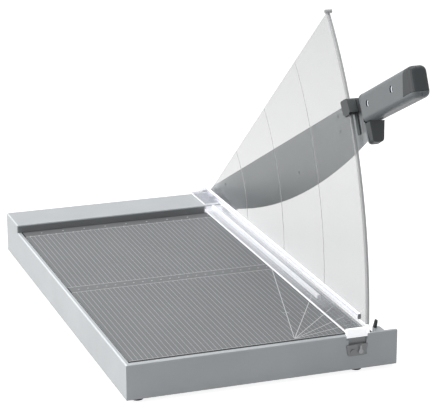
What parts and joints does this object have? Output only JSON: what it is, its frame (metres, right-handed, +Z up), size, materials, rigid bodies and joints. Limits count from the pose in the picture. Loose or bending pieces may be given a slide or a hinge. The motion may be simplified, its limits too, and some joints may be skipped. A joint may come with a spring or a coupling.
{
  "type": "guillotine paper cutter",
  "caption": "Guillotine paper cutter with a belly-curved blade arm on a rear pivot, a clear fan guard with a lit cutting line, a clear coupled paper clamp, a ruled grey table and a grey grip.",
  "frame": {"origin": "middle of the footprint of everything, on the surface the rubber feet stand on", "axes": "+X to the right along the front edge, to the cutting side, +Y to the back, away from the handle, +Z up"},
  "size_m": [0.2794, 0.5632, 0.3407],
  "materials": {
    "housing_paint": "satin",
    "mat_grey": "matte",
    "dark_plastic": "matte",
    "foot_rubber": "matte",
    "zinc_steel": "satin",
    "cutting_steel": "brushed",
    "battery_wrap": "satin",
    "clear_acrylic": "gloss",
    "light_diffuser": "gloss",
    "board_green": "satin",
    "handle_grey": "satin",
    "bolster_paint": "satin",
    "finger_black": "matte"
  },
  "bodies": {
    "base": {"base_housing": "housing_paint", "cutting_mat": "mat_grey", "rail_stop_strip": "dark_plastic", "foot_front_left": "foot_rubber", "foot_front_right": "foot_rubber", "foot_back_left": "foot_rubber", "foot_back_right": "foot_rubber", "foot_screw_front_left": "zinc_steel", "foot_screw_front_right": "zinc_steel", "foot_screw_back_left": "zinc_steel", "foot_screw_back_right": "zinc_steel", "floor_plate": "housing_paint", "battery_cover": "dark_plastic", "battery_tray": "dark_plastic", "battery_1": "battery_wrap", "battery_2": "battery_wrap", "lower_cutter": "cutting_steel", "cutter_screw_1": "zinc_steel", "cutter_screw_2": "zinc_steel", "cutter_screw_3": "zinc_steel", "cutter_screw_4": "zinc_steel", "pivot_bracket": "cutting_steel", "pivot_washer": "zinc_steel", "pivot_friction_spring": "zinc_steel", "pivot_bolt": "zinc_steel", "pivot_nut": "zinc_steel", "guard_fan": "clear_acrylic", "light_rail": "light_diffuser", "light_board": "board_green", "light_rail_cap": "dark_plastic", "guard_back_block": "clear_acrylic", "guard_screw_1": "zinc_steel", "guard_screw_2": "zinc_steel", "guard_front_post": "clear_acrylic", "clamp_spring_back": "zinc_steel", "clamp_spring_front": "zinc_steel", "latch_housing": "dark_plastic", "latch_screw": "zinc_steel", "guide_finger": "finger_black", "blade_stop_pad": "foot_rubber"},
    "arm": {"blade": "cutting_steel", "tang_plate": "cutting_steel", "blade_bolt_1": "zinc_steel", "blade_bolt_2": "zinc_steel", "bolster_plate": "bolster_paint", "handle_shell_left": "handle_grey", "handle_shell_right": "handle_grey", "handle_screw_1": "zinc_steel", "handle_screw_2": "zinc_steel", "handle_end_cap": "dark_plastic", "knuckle_guard": "dark_plastic", "guide_clip": "dark_plastic"},
    "clamp": {"clamp_bar": "clear_acrylic", "clamp_front_block": "clear_acrylic", "clamp_pin_back": "zinc_steel", "clamp_pin_front": "zinc_steel"},
    "latch": {"latch_knob": "handle_grey"}
  },
  "joints": [
    {"name": "blade_arm_hinge", "type": "hinge", "parent": "base", "child": "arm", "pos_m": [0.1131, 0.24927, 0.0433], "axis": [-1, 0, 0], "range_deg": [-23.6, 11.8]},
    {"name": "clamp_slide", "type": "slide", "parent": "base", "child": "clamp", "axis": [0, 0, 1], "range_m": [-0.002, 0.00101]},
    {"name": "latch_turn", "type": "hinge", "parent": "base", "child": "latch", "pos_m": [0.0996, -0.19113, 0.0232], "axis": [0, 1, 0], "range_deg": [0, 90]}
  ],
  "couplings": [
    {"joint": "clamp_slide", "follows": "blade_arm_hinge", "m_per_rad": 0.0048}
  ]
}
